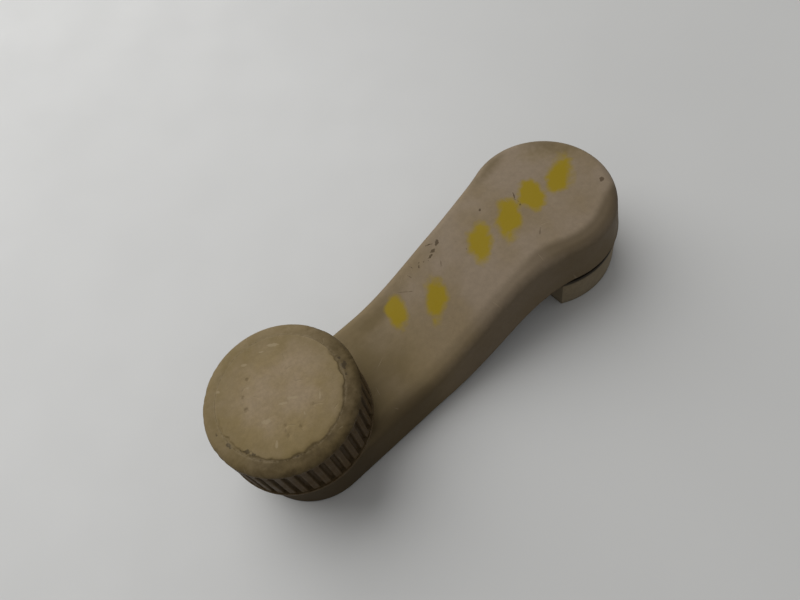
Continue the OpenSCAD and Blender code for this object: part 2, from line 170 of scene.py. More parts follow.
arm = {
    # plan: the hub, the side that starts at the waist, the hollow neck between them, and the round end
    "hubRadius": 20.4, "waistRadius": 15.9, "neckRadius": 74.0, "endRadius": 16.1,
    "hubPoints": 72, "neckPoints": 28, "sidePoints": 40, "endPoints": 48,
    # heights of the top and of the lower edge, and where both fall from the hub to the end
    "hubTop": 25.0, "hubEdge": 12.5, "endTop": 12.7, "skirtLift": 2.2,
    "fallFrom": 13.0, "dropFrom": 6.8, "fallRun": 0.53 * knobX,
    # the shell's section
    "wall": 2.2, "roof": 2.6, "draft": math.radians(8), "edgeRound": 2.9, "lipRound": 0.35,
    "crown": 0.4, "crownPower": 1.45, "crownInset": 12.1, "ceilingInset": 7.2,
    "innerRound": 1.5, "innerSteps": [(0.5, 0.4), (1.4, 0.0)],  # in from the wall, down from the roof
    # the pad under the knob, with the hole for the spindle
    "padRadius": 12.5, "padHeight": 1.2, "padRoot": 1.0, "padRounds": (0.25, 0.35), "padColumns": 192,
    "postHole": 6.2, "cutTop": 30.0,
    # the snap lugs inside, under the edge of the carrier's recess
    "lugShares": (0.42, 0.72), "lugLength": 6.0, "lugDepth": 1.5, "lugInset": 3.3, "lugRoot": 0.6,
    "lugFloat": 0.2, "recessHub": 9.9, "recessEnd": 4.3, "recessFrom": knobX / 3, "recessRun": knobX / 3,
}


def fall(x, high, low, start, run):  # a height that falls along the arm
    return high - (high - low) * ease((x - start) / run)


def topZ(x):
    return fall(x, arm["hubTop"], arm["endTop"], arm["fallFrom"], arm["fallRun"])


def skirtZ(x):
    return fall(x, arm["hubEdge"], arm["skirtLift"], arm["dropFrom"], arm["fallRun"])


def recessZ(x):
    return fall(x, arm["recessHub"], arm["recessEnd"], arm["recessFrom"], arm["recessRun"])


def sideOut(depth):  # how far the sloping side lies outside the plan at a depth below the top
    return (depth - arm["edgeRound"] * (1 - math.sin(arm["draft"]))) * math.tan(arm["draft"])


def planOutline():  # points and outward normals round the plan, starting at the hub's far end
    hub, waist, neck, end = arm["hubRadius"], arm["waistRadius"], arm["neckRadius"], arm["endRadius"]
    tilt = math.asin((waist - end) / knobX)
    rise = (waist + neck) / math.cos(tilt)
    root = math.sqrt(((hub + neck) / math.cos(tilt)) ** 2 - rise ** 2)
    neckX = (rise * math.tan(tilt) + root) * math.cos(tilt) ** 2
    neckY = rise - neckX * math.tan(tilt)
    turn = math.atan2(neckY, neckX)
    half = []
    for a in np.linspace(math.pi, turn, arm["hubPoints"], endpoint=False):
        half.append((hub * math.cos(a), hub * math.sin(a), math.cos(a), math.sin(a)))
    for a in np.linspace(math.pi + turn, 1.5 * math.pi - tilt, arm["neckPoints"], endpoint=False):
        half.append((neckX + neck * math.cos(a), neckY + neck * math.sin(a), -math.cos(a), -math.sin(a)))
    sideStart = np.array([neckX - neck * math.sin(tilt), neckY - neck * math.cos(tilt)])
    sideEnd = np.array([knobX + end * math.sin(tilt), end * math.cos(tilt)])
    for t in np.linspace(0, 1, arm["sidePoints"], endpoint=False):
        half.append((*(sideStart + (sideEnd - sideStart) * t), math.sin(tilt), math.cos(tilt)))
    for a in np.linspace(math.pi / 2 - tilt, 0, arm["endPoints"]):
        half.append((knobX + end * math.cos(a), end * math.sin(a), math.cos(a), math.sin(a)))
    half = np.array(half)
    return np.vstack([half, half[-2:0:-1] * [1, -1, 1, -1]])


def coverRings():  # from the middle of the top over the edge and the lip to the middle of the ceiling
    outline = planOutline()
    base, out = outline[:, :2], outline[:, 2:]
    bend, slope, lip, wall = arm["edgeRound"], arm["draft"], arm["lipRound"], arm["wall"]
    rings = []

    def topRing(inset, drop):
        xy = base - out * inset
        rings.append(np.column_stack([xy, topZ(xy[:, 0]) - drop]))

    def sideRing(inset, start, share, lift=0.0):
        depth = start + (topZ(base[:, 0]) - skirtZ(base[:, 0]) - start) * share
        xy = base + out * (sideOut(depth) - inset)[:, None]
        rings.append(np.column_stack([xy, topZ(base[:, 0]) - depth + lift]))

    rim = bend * math.cos(slope)
    for u in np.linspace(1, 0, 9, endpoint=False):  # the crowned top
        topRing(rim + (arm["crownInset"] - rim) * u, -arm["crown"] * (1 - (1 - u) ** arm["crownPower"]))
    for a in np.linspace(0, math.pi / 2 - slope, 12):  # the rolled edge
        topRing(bend * (math.cos(slope) - math.sin(a)), bend * (1 - math.cos(a)))
    start = bend * (1 - math.sin(slope))
    for share in np.linspace(0.1, 0.97, 9):  # the side
        sideRing(0, start, share)
    for a in np.linspace(0, math.pi / 2, 5):  # the lip, outer and inner half
        sideRing(lip * (1 - math.cos(a)), start, 1, lip * (1 - math.sin(a)))
    for a in np.linspace(0, math.pi / 2, 5):
        sideRing(wall - lip * (1 - math.sin(a)), start, 1, lip * (1 - math.cos(a)))
    inner = arm["roof"] + arm["innerRound"]
    for share in (0.9, 0.6, 0.3, 0):  # inside the wall, then under the roof
        sideRing(wall, inner, share)
    for stepIn, stepDown in arm["innerSteps"]:
        topRing(wall + stepIn - sideOut(inner), arm["roof"] + stepDown)
    topRing(arm["ceilingInset"], arm["roof"])
    return rings


def coverPad():
    hole, outer = arm["postHole"], arm["padRadius"]
    low, top = arm["endTop"] - arm["padRoot"], arm["endTop"] + arm["padHeight"]
    innerRound, outerRound = arm["padRounds"]
    profile = [(hole, low, 0), (hole, top, innerRound), (outer, top, outerRound), (outer, low, 0)]
    return lathe("armCoverPad", roundCorners(profile), evenAngles(arm["padColumns"]))


def coverLug(x, side):
    ahead = x + arm["lugLength"] / 2
    low = recessZ(ahead) - arm["lugFloat"] - arm["lugDepth"]
    inner, outer = arm["waistRadius"] - arm["lugInset"], arm["waistRadius"] - arm["lugRoot"]
    return boxPiece("armCoverLug", (x - arm["lugLength"] / 2, ahead), (inner * side, outer * side),
                    (low, low + arm["lugDepth"]))


def armCover():
    rings = coverRings()
    around = len(rings[0])
    last = (len(rings) - 1) * around
    faces = crossFaces(0, around) + ringFaces(len(rings), around) + crossFaces(last, around)
    shell = meshPiece("armCover", np.vstack(rings), faces)
    cutRound(shell, arm["postHole"], 0, arm["cutTop"])
    pieces = [shell, coverPad()]
    pieces += [coverLug(share * knobX, side) for share in arm["lugShares"] for side in (1, -1)]
    return joinPieces(pieces)


# The knob: a fluted grip and a worn disc in its top

knob = {
    # the grip outside
    "radius": 19.1, "foot": 3.4, "rim": 1.0, "rimOut": 0.3, "rimUnder": 0.8, "waist": 16.9, "waistOut": 0.3,
    "footBevel": 1.0, "shoulderWidth": 3.4, "shoulderHeight": 1.8,
    "shoulderShape": 1.75,  # 2 is an ellipse, less is nearer to a straight slope
    "flutes": 40, "fluteWidth": 1.4, "fluteDepth": 0.9, "fluteRoll": 0.5, "fluteEdge": 0.1, "land": 0.3,
    # the grip inside
    "wall": 3.2, "pocketUnder": 1.6, "tubeRadius": 8.35, "bushRadius": 6.0, "flangeRadius": 8.6,
    "flangeDepth": 0.9, "seat": 0.02,
    # the disc
    "capRadius": 15.6, "capThickness": 2.3, "capCrown": 0.5, "capColumns": 480, "collarGap": 0.2,
    "collarOut": 1.6, "collarDepth": 3.4,
}
knob["low"], knob["top"] = (corner.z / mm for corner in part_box("knob_grip"))
knob["bushLow"], knob["bushTop"] = (corner.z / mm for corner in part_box("knob_bush"))
knob["rimLow"] = knob["low"] + knob["foot"]
knob["fluteLow"] = knob["rimLow"] + knob["rim"]
knob["fluteTop"] = knob["top"] - knob["shoulderHeight"] - knob["land"]
knob["capLow"] = knob["top"] - knob["capThickness"]

# Wear of the knob. Angles are degrees round its axis from the side away from the hub, and a stretch is
# where the wear starts, over how many degrees it sets in, where it ends and over how many it fades.
knobWear = {
    "seam": -100,  # where the count of degrees starts, on the whole side
    "chipped": (-32, 25, 200, 40), "chipDepth": 0.25, "chipReach": 1.1, "chipLeast": 0.12, "chipUsual": 0.5,
    "chipRound": 4.2, "chipSlice": 4.0, "chipCoarse": 0.9, "chipFine": 0.35, "chipFiner": 3.1,
    "softened": (35, 30, 158, 25), "crispRun": 0.4, "softRun": 1.3, "shoulderFrom": 2.4, "shoulderRun": 1.8,
    # nicks on shoulder and flutes: how often, from what height of the noise, how deep
    "nicks": [(0.55, 0.28, 0.3), (1.4, 0.45, 0.24)], "nicksOnFlutes": 0.35,
    # dents in the disc: x and y from the axis, radius
    "dents": [(3.3, -8.4, 0.7), (7.8, -2.4, 0.8), (6.6, -5.6, 0.5), (-4.3, 7.7, 0.7), (0.8, 10.2, 0.9),
              (4.3, 9.4, 1.3), (3.4, 7.4, 0.7), (13.4, -9.2, 0.8)],
    "dentDepth": 0.16, "dentSpread": 0.6,
    "waves": [(0.25, 0.035), (0.9, 0.02)], "waveRun": 2.0, "faceExtra": 0.02,
}


def fluteColumns():  # angles crowded at each flute's edges
    pitch = 2 * math.pi / knob["flutes"]
    edge = knob["fluteWidth"] / 2 / knob["radius"]
    half = [share * edge for share in (0, 0.45, 0.72, 0.86, 1, 1.13, 1.3, 1.65)]
    across = sorted(set([-a for a in half] + half)) + [pitch / 2]
    return np.array([i * pitch + a for i in range(knob["flutes"]) for a in across])


def fluteDip(z, a):
    pitch = 2 * math.pi / knob["flutes"]
    halfWidth = knob["fluteWidth"] / 2
    across = abs((a + pitch / 2) % pitch - pitch / 2) * knob["radius"]
    above = z - (knob["fluteTop"] - halfWidth)
    gap = (math.hypot(across, above) if above > 0 else across) - halfWidth
    gap = max(gap, knob["fluteLow"] + knob["fluteEdge"] - z)
    return knob["fluteDepth"] * float(ease(0.5 - (gap + knob["fluteEdge"]) / knob["fluteRoll"]))


def onStretch(a, stretch):  # 1 on a stretch of the knob's round, 0 off it
    start, setsIn, end, fades = stretch
    turned = (math.degrees(a) - knobWear["seam"]) % 360 + knobWear["seam"]
    return float(ease((turned - start) / setsIn) * ease((end - turned) / fades))


def chipAt(a):  # how far in from the disc's edge the chips reach
    w = knobWear
    along = Vector((math.cos(a) * w["chipRound"], math.sin(a) * w["chipRound"], w["chipSlice"]))
    uneven = w["chipCoarse"] * noise.noise(along) + w["chipFine"] * noise.noise(along * w["chipFiner"])
    return w["chipReach"] * max(w["chipLeast"], w["chipUsual"] + uneven)


def chipShare(r, a):  # 0 on the whole face, 1 where the chips are at full depth
    w = knobWear
    run = w["crispRun"] + w["softRun"] * onStretch(a, w["softened"])
    broken = ease(0.5 + (r - (knob["capRadius"] - chipAt(a))) / run)
    return onStretch(a, w["chipped"]) * float(broken)


def wornShoulder(r, z, a):  # the flutes, with nicks and dents on them and on the shoulder above
    w, top, fluteTop = knobWear, knob["top"], knob["fluteTop"]
    inner = knob["radius"] - knob["shoulderWidth"]
    if r < inner - 0.2 or z < knob["fluteLow"] - 0.05:  # inside, or under the flutes
        return r, z
    onBand = abs(r - knob["radius"]) < 0.02 and z < fluteTop + 0.3
    dip = fluteDip(z, a) if onBand else 0
    place = Vector((r * math.cos(a), r * math.sin(a), z))
    chip = sum(depth * max(0, noise.noise(place * rate) - start) for rate, start, depth in w["nicks"])
    chip *= 1 if z > fluteTop else w["nicksOnFlutes"]
    sunk = chip if z > fluteTop + 0.4 else 0
    if z > top - 0.9:
        fade = ease((inner + w["shoulderFrom"] - r) / w["shoulderRun"])
        sunk += w["chipDepth"] * chipShare(r, a) * float(fade)
    return r - dip - chip, z - sunk


def knobGrip():
    k = knob
    outer, rimOuter, seatR = k["radius"], k["radius"] + k["rimOut"], k["capRadius"] + k["seat"]
    flange, bush = k["flangeRadius"] + k["seat"], k["bushRadius"] + k["seat"]
    counterbore = k["bushLow"] + k["flangeDepth"] + k["seat"]
    foot = roundCorners([(bush, counterbore, 0), (flange, counterbore, 0.1), (flange, k["low"], 0.2),
                         (k["waist"] - k["footBevel"], k["low"], 0.3),
                         (k["waist"], k["low"] + k["footBevel"], 0.6),
                         (k["waist"] + k["waistOut"], k["rimLow"] - k["rimUnder"], 0.5),
                         (rimOuter, k["rimLow"], 0.25), (rimOuter, k["fluteLow"], 0.25),
                         (outer, k["fluteLow"], 0.06)], 3)[:-1]
    # rows of points crowd where the flutes start and end
    rows = [k["fluteLow"] + t for t in (0.02, 0.06, 0.1, 0.16, 0.24, 0.34, 0.5, 1.2)]
    rows += np.linspace(k["fluteLow"] + 2.5, k["fluteTop"] - 2, 6).tolist()
    rows += (k["fluteTop"] + np.linspace(-1.2, 0.35, 16)).tolist()
    band = [np.array([outer, z]) for z in rows]
    power = 2 / k["shoulderShape"]
    shoulder = [np.array([outer - k["shoulderWidth"] * (1 - math.cos(b) ** power),
                          k["top"] - k["shoulderHeight"] * (1 - math.sin(b) ** power)])
                for b in np.linspace(0, math.pi / 2, 14)]
    pocket, floor = outer - k["fluteDepth"] - k["wall"], k["fluteLow"] - k["pocketUnder"]
    tube = k["tubeRadius"]
    inside = roundCorners([(seatR, k["top"], 0.02), (seatR, k["capLow"], 0), (pocket, k["capLow"], 0.2),
                           (pocket, floor, 0.5), (tube, floor, 0.5), (tube, k["bushTop"], 0.2),
                           (bush, k["bushTop"], 0.1)], 2)
    return lathe("knobGrip", foot + band + shoulder[:-1] + inside, fluteColumns(), wornShoulder, 50)


def knobCap():
    k, w = knob, knobWear
    top, low, radius = k["top"], k["capLow"], k["capRadius"]
    collarIn, collarOut = k["tubeRadius"] + k["collarGap"], k["tubeRadius"] + k["collarOut"]
    collarLow = low - k["collarDepth"]
    profile = [(0.01, low), (collarIn, low), (collarIn, collarLow), (collarOut, collarLow)]
    profile += [(collarOut, low), (radius, low)]
    profile += [(radius, top - down) for down in (1.2, 0.7, 0.35, 0.12)]
    profile += [(radius - 0.03, top)]
    # rings of the face, crowded near its edge where the chips are
    crown = [radius - t for t in (0.08, 0.16, 0.26, 0.38, 0.5, 0.65, 0.8, 0.95, 1.1, 1.3, 1.6, 2.0)]
    crown += [(radius - 2.0) * (1 - t) + 0.01 for t in np.linspace(0, 1, 56)[1:]]
    profile += [(r, top + k["capCrown"] * (1 - (r / radius) ** 2)) for r in crown]

    def wornFace(r, z, a):
        if z < top - 0.45:
            return r, z
        x, y = r * math.cos(a), r * math.sin(a)
        place = Vector((x, y, 0))
        dent = sum(math.exp(-(math.hypot(x - dx, y - dy) / (w["dentSpread"] * size)) ** 2)
                   for dx, dy, size in w["dents"]) * w["dentDepth"]
        wave = sum(height * noise.noise(place * rate) for rate, height in w["waves"])
        wave *= min(1, (radius - r) / w["waveRun"])
        return r, z - dent + wave - (w["chipDepth"] + w["faceExtra"]) * chipShare(r, a)

    return lathe("knobCap", profile, evenAngles(k["capColumns"]), wornFace, 40)


# Node building, kept short: put() makes a node, sets its properties and fills its inputs

def fill(tree, node, values):
    for key, value in values.items():
        if isinstance(value, bpy.types.NodeSocket):
            tree.links.new(value, node.inputs[key])
        else:
            node.inputs[key].default_value = value
    return node


def put(tree, kind, values, **settings):
    node = tree.nodes.new("ShaderNode" + kind)
    for key, value in settings.items():
        setattr(node, key, value)
    return fill(tree, node, values)


def use(tree, group, values):
    node = tree.nodes.new("ShaderNodeGroup")
    node.node_tree = group
    return fill(tree, node, values).outputs


def maths(tree, operation, a, b=0.0, clamp=False):
    return put(tree, "Math", {0: a, 1: b}, operation=operation, use_clamp=clamp).outputs[0]


def times(tree, a, b):
    return maths(tree, "MULTIPLY", a, b)


def remap(tree, value, low, high, toLow=0.0, toHigh=1.0):
    return put(tree, "MapRange", {"Value": value, "From Min": low, "From Max": high, "To Min": toLow,
                                  "To Max": toHigh}, interpolation_type="SMOOTHSTEP").outputs["Result"]


def blend(tree, share, a, b, mode="MIX"):
    mix = put(tree, "Mix", {"Factor": share}, data_type="RGBA", blend_type=mode)
    for key, value in (("A", a), ("B", b)):
        socket = next(s for s in mix.inputs if s.name == key and s.type == "RGBA")
        if isinstance(value, bpy.types.NodeSocket):
            tree.links.new(value, socket)
        else:
            socket.default_value = (*value[:3], 1)
    return next(s for s in mix.outputs if s.type == "RGBA")


def offset(tree, place, centre):  # the vector from a centre to a place
    return put(tree, "VectorMath", {0: place, 1: centre}, operation="SUBTRACT").outputs[0]


def grey(tree, value):
    return put(tree, "CombineColor", {0: value, 1: value, 2: value}).outputs[0]


def partsOf(tree, vector):  # x, y and z
    return put(tree, "SeparateXYZ", {0: vector}).outputs


def noiseAt(tree, place, scale, detail=4.0, roughness=0.55):
    return put(tree, "TexNoise", {"Vector": place, "Scale": scale, "Detail": detail,
                                  "Roughness": roughness}).outputs["Fac"]


def overRun(tree, value, run, shares=(0.0, 1.0)):  # remap between two places given in millimetres
    return remap(tree, value, run[0] * mm, run[1] * mm, *shares)


def mottle(tree, place, scale, low, high, detail=5.0, roughness=0.65):  # noise that fills a range of values
    return remap(tree, noiseAt(tree, place, scale, detail, roughness), 0.3, 0.7, low, high)


def ellipse(tree, apart, turn, halfLength, halfWidth):  # 0 in the middle of a turned ellipse, 1 on its edge
    turned = put(tree, "VectorRotate", {"Vector": apart, "Angle": turn}, rotation_type="Z_AXIS").outputs[0]
    parts = partsOf(tree, turned)
    along = maths(tree, "DIVIDE", parts[0], halfLength)
    across = maths(tree, "DIVIDE", parts[1], halfWidth)
    return maths(tree, "SQRT", maths(tree, "ADD", times(tree, along, along), times(tree, across, across)))


socketKinds = {"vector": "NodeSocketVector", "colour": "NodeSocketColor", "value": "NodeSocketFloat"}


def startGroup(name, inputs, outputs):
    tree = bpy.data.node_groups.new(name, "ShaderNodeTree")
    for label, kind, default in inputs:
        socket = tree.interface.new_socket(name=label, in_out="INPUT", socket_type=socketKinds[kind])
        if default is not None:
            socket.default_value = default
    for label, kind in outputs:
        tree.interface.new_socket(name=label, in_out="OUTPUT", socket_type=socketKinds[kind])
    return tree, tree.nodes.new("NodeGroupInput").outputs, tree.nodes.new("NodeGroupOutput").inputs


def makeAgedTone():  # plastic that has yellowed and stained unevenly
    tree, given, out = startGroup("agedTone", [
        ("Place", "vector", None), ("Scale", "value", 60.0), ("Fresh", "colour", (0.2, 0.16, 0.11, 1)),
        ("Stained", "colour", (0.17, 0.14, 0.08, 1)), ("Flecks", "value", 0.1)], [("Colour", "colour")])
    fleckScale = times(tree, given["Scale"], 14.0)  # flecks are that much finer than stains
    broad = noiseAt(tree, given["Place"], given["Scale"], 3.0)
    tone = blend(tree, remap(tree, broad, 0.36, 0.64), given["Fresh"], given["Stained"])
    shade = mottle(tree, given["Place"], fleckScale, -1.0, 1.0, 5.0, 0.7)
    lit = maths(tree, "ADD", 1.0, times(tree, shade, given["Flecks"]))
    tree.links.new(blend(tree, 1.0, tone, grey(tree, lit), "MULTIPLY"), out["Colour"])
    return tree


def makeEdgeAndHollow():  # worn edges, and hollows that gather dirt and painted shade (rust on metals), from how open the surface is
    tree, given, out = startGroup("edgeAndHollowGroup", [
        ("Place", "vector", None), ("Edge size", "value", 0.0006), ("Hollow size", "value", 0.002)],
        [("Edge", "value"), ("Hollow", "value")])
    inside = put(tree, "AmbientOcclusion", {"Distance": given["Edge size"]}, inside=True, samples=6)
    outside = put(tree, "AmbientOcclusion", {"Distance": given["Hollow size"]}, samples=8)
    ragged = noiseAt(tree, given["Place"], 900.0, 4.0, 0.7)
    # openness from where each starts to where it is full, broken up by the noise
    edge = remap(tree, inside.outputs["AO"], 0.93, 0.5)
    hollow = remap(tree, outside.outputs["AO"], 0.85, 0.25)
    tree.links.new(times(tree, edge, remap(tree, ragged, 0.38, 0.6)), out["Edge"])
    tree.links.new(times(tree, hollow, remap(tree, ragged, 0.2, 0.55, 0.6, 1.0)), out["Hollow"])
    return tree


def makeNicks():  # short marks strewn over a surface, each turned its own way
    tree, given, out = startGroup("nicks", [
        ("Place", "vector", None), ("Cell", "value", 200.0), ("Length", "value", 0.3),
        ("Width", "value", 0.04), ("Share", "value", 0.3)], [("Mask", "value")])
    cells = put(tree, "TexVoronoi", {"Vector": given["Place"], "Scale": given["Cell"], "Randomness": 1.0})
    own = put(tree, "SeparateColor", {0: cells.outputs["Color"]}).outputs  # each cell's own draw
    apart = offset(tree, given["Place"], cells.outputs["Position"])
    inCells = put(tree, "VectorMath", {0: apart, "Scale": given["Cell"]}, operation="SCALE").outputs[0]
    away = ellipse(tree, inCells, times(tree, own[0], math.tau), given["Length"], given["Width"])
    chosen = maths(tree, "LESS_THAN", own[1], given["Share"])
    tree.links.new(times(tree, remap(tree, away, 1.0, 0.5), chosen), out["Mask"])
    return tree


def makeSpot():  # one soft ragged patch at a place
    tree, given, out = startGroup("spot", [
        ("Place", "vector", None), ("Centre", "vector", None), ("Half length", "value", 0.003),
        ("Half width", "value", 0.002), ("Turn", "value", 0.0), ("Ragged", "value", 0.4),
        ("Softness", "value", 0.3), ("Grain", "value", 700.0)], [("Mask", "value")])
    apart = offset(tree, given["Place"], given["Centre"])
    away = ellipse(tree, apart, given["Turn"], given["Half length"], given["Half width"])
    rough = mottle(tree, given["Place"], given["Grain"], -1.0, 1.0, 3.0, 0.6)
    shifted = maths(tree, "ADD", away, times(tree, rough, given["Ragged"]))
    edge = maths(tree, "SUBTRACT", 1.0, given["Softness"])
    tree.links.new(remap(tree, shifted, 1.0, edge), out["Mask"])
    return tree


agedTone, edgeAndHollowGroup, nicks, spot = makeAgedTone(), makeEdgeAndHollow(), makeNicks(), makeSpot()
print("shared effects made")


def startMaterial(name, **shader):
    material = bpy.data.materials.new(name)
    material.use_nodes = True
    tree = material.node_tree
    body = next(n for n in tree.nodes if n.type == "BSDF_PRINCIPLED")
    for key, value in shader.items():
        body.inputs[key.replace("_", " ")].default_value = value
    place = tree.nodes.new("ShaderNodeTexCoord").outputs["Object"]
    return material, tree, body, place


def bump(tree, body, height, depth, strength):  # depth in millimetres
    relief = put(tree, "Bump", {"Height": height, "Distance": depth * mm, "Strength": strength})
    tree.links.new(relief.outputs["Normal"], body.inputs["Normal"])


def edgeAndHollowOf(tree, place, f):
    return use(tree, edgeAndHollowGroup, {"Place": place, "Edge size": f["edgeSize"] * mm,
                                "Hollow size": f["hollowSize"] * mm})


def glossAndGrain(tree, body, place, f, small=None):  # small is the mask of nicks that break the grain
    if "gloss" in f:
        tree.links.new(mottle(tree, place, f["glossScale"], *f["gloss"]), body.inputs["Roughness"])
    grain = noiseAt(tree, place, *f["grain"])
    if small is not None:
        grain = maths(tree, "ADD", grain, times(tree, small, -f["nickDepth"]))
    bump(tree, body, grain, f["grainDepth"], f["grainStrength"])


def plasticTone(tree, place, f):  # the plain aged colour of a finish
    return use(tree, agedTone, {"Place": place, "Scale": f["stainScale"], "Fresh": (*f["fresh"], 1),
                                "Stained": (*f["stained"], 1), "Flecks": f["flecks"]})["Colour"]


def patches(tree, place, colour, kind):
    for x, y, z, length, width, turn, ragged in kind["at"]:
        mask = use(tree, spot, {"Place": place, "Centre": (x * mm, y * mm, z * mm),
                                "Half length": length * mm, "Half width": width * mm,
                                "Turn": -math.radians(turn), "Ragged": ragged,
                                "Softness": kind["softness"], "Grain": kind["grain"]})["Mask"]
        colour = blend(tree, times(tree, mask, kind["strength"]), colour, kind["paint"])
    return colour


# The arm's plastic: places and runs are millimetres, and along the arm they count from the hub's axis

armFinish = {
    "fresh": (0.222, 0.172, 0.119), "stained": (0.194, 0.145, 0.084), "stainScale": 45.0, "flecks": 0.06,
    "worn": (0.24, 0.185, 0.12), "edgeSize": 0.9, "edgeWorn": 0.3, "nickWorn": 0.4,
    "nicks": {"Cell": 150.0, "Length": 0.28, "Width": 0.02, "Share": 0.14},
    # the grime colour and hollow amount are painted shade and dirt in hollows
    "grimeAndShade": (0.03, 0.022, 0.013), "hollowSize": 3.0, "hollowShadeGrime": 0.55,
    # dirt and painted shade on the sides, by how far up a face looks, with a ragged start
    "shadeAndSoil": (0.072, 0.051, 0.026), "sideShadeSoil": 0.45, "steep": (0.85, 0.3),
    "raggedScale": 200.0, "ragged": 0.09,
    "yellowed": (0.16, 0.115, 0.04), "yellowRun": (42.0, 62.0), "yellowShare": 0.35,
    # painted shadow of the knob and dirt towards the arm's end
    "knobShadowAndDirt": (0.03, 0.021, 0.012), "knobShadowAndDirtRun": (48.0, 88.0), "knobShadowAndDirtOnTop": 0.26, "knobShadowAndDirtOnSides": 0.5,
    "gloss": (0.5, 0.66), "glossScale": 160.0,
    "grain": (2600.0, 2.0), "grainDepth": 0.05, "grainStrength": 0.6, "nickDepth": 1.2,
}

# Painted shade along the near long edge, the side away from the lamp: by how far a point lies inside the top's
# edge, and by its place along the arm
nearEdgeShade = {
    "hubInset": 0.6, "cornerBlend": 6.0, "fade": (5.5, 3.0),
    "alongRun": (8.0, 24.0), "alongShare": (0.72, 0.4), "sideRun": (-0.8, 1.5), "sideShare": (0.45, 1.0),
}

# Each patch: x, y, z, half length, half width, turn in degrees, raggedness
armPatches = {
    "yellowEdge": {"paint": armFinish["yellowed"], "strength": 0.35, "softness": 0.9, "grain": 160.0,
                   "at": [(-11.0, -9.0, 25, 13.0, 5.5, 130, 0.2)]},
    # stains; the patch at x 68 by the knob is painted shadow of the knob over a stain
    "stainsAndKnobShade": {"paint": (0.085, 0.058, 0.016), "strength": 0.5, "softness": 0.95, "grain": 160.0,
               "at": [(-14.0, -12.0, 24.0, 12.0, 6.0, 130, 0.2), (68.0, 1.0, 13.0, 20.0, 16.0, 0, 0.2),
                      (56.0, -10.0, 13.0, 15.0, 5.0, 5, 0.2), (3.0, -17.2, 24.0, 14.0, 3.6, 10, 0.2)]},
    # painted shadow of the knob on the near edge by the arm's end, with dirt
    "edgeShadeAndDirt": {"paint": armFinish["shadeAndSoil"], "strength": 0.7, "softness": 0.85, "grain": 120.0,
                 "at": [(66.0, 15.2, 13.0, 18.0, 4.6, 0, 0.1)]},
    "dabs": {"paint": (0.245, 0.172, 0.005), "strength": 0.97, "softness": 0.5, "grain": 160.0,
             "at": [(-8.0, -1.0, 25, 8.0, 4.5, 34, 0.2), (2.2, -1.8, 25, 6.4, 4.4, 60, 0.22),
                    (12.2, -0.8, 25, 8.0, 4.4, 42, 0.2), (22.4, -1.8, 24.4, 7.2, 4.6, 56, 0.22),
                    (40.4, -0.4, 17.0, 8.0, 4.0, 50, 0.2), (50.4, -6.4, 14.4, 6.4, 3.4, 62, 0.22)]},
    "scuffs": {"paint": (0.042, 0.025, 0.009), "strength": 0.75, "softness": 0.3, "grain": 700.0,
               "at": [(31.6, -13.2, 20.5, 1.1, 0.22, 149, 0.9), (30.6, -12.4, 20.7, 0.9, 0.2, 130, 0.9),
                      (29.7, -11.6, 20.9, 0.75, 0.5, 178, 0.9), (31.8, -10.5, 20.5, 0.7, 0.42, 178, 0.9),
                      (33.6, -10.2, 20.0, 1.0, 0.28, 178, 1.0), (35.1, -10.4, 19.6, 0.9, 0.22, 140, 1.0),
                      (36.9, -11.1, 19.2, 0.7, 0.2, 229, 1.0), (33.0, -6.0, 20.1, 1.5, 0.09, 229, 0.4),
                      (38.6, -12.5, 18.9, 0.8, 0.1, 100, 0.6), (40.7, -11.0, 18.0, 1.4, 0.09, 100, 0.5),
                      (15.4, -8.5, 25, 0.45, 0.25, 10, 0.8), (26.2, -7.0, 22.8, 0.5, 0.28, 110, 0.8),
                      (25.8, -3.2, 23.0, 0.3, 0.2, 60, 0.8), (5.6, -5.2, 25, 0.8, 0.16, 60, 0.9),
                      (6.4, -3.4, 25, 1.1, 0.14, 98, 0.9), (6.9, -1.6, 25, 0.6, 0.2, 40, 1.0),
                      (9.7, 8.3, 25, 1.2, 0.12, 40, 0.5), (44.5, -9.0, 16.2, 2.6, 0.08, 130, 0.3)]},
    "dents": {"paint": (0.07, 0.045, 0.025), "strength": 0.8, "softness": 0.3, "grain": 700.0,
              "at": [(-14.4, 8.6, 24.9, 0.7, 0.5, 30, 0.6)]},
}


def nearEdgeShadeShare(tree, where):  # the band of painted shade follows the hub's round and goes on along the arm
    b = nearEdgeShade
    onPlan = put(tree, "CombineXYZ", {0: where[0], 1: where[1]}).outputs[0]
    fromHub = put(tree, "VectorMath", {0: onPlan}, operation="LENGTH").outputs["Value"]
    insideHub = maths(tree, "SUBTRACT", (arm["hubRadius"] - b["hubInset"]) * mm, fromHub)
    insideArm = maths(tree, "SUBTRACT", arm["waistRadius"] * mm, where[1])
    inset = put(tree, "Math", {0: insideHub, 1: insideArm, 2: b["cornerBlend"] * mm},
                operation="SMOOTH_MAX").outputs[0]
    share = overRun(tree, where[0], b["alongRun"], b["alongShare"])
    share = times(tree, overRun(tree, inset, b["fade"]), share)
    return times(tree, share, overRun(tree, inset, b["sideRun"], b["sideShare"]))


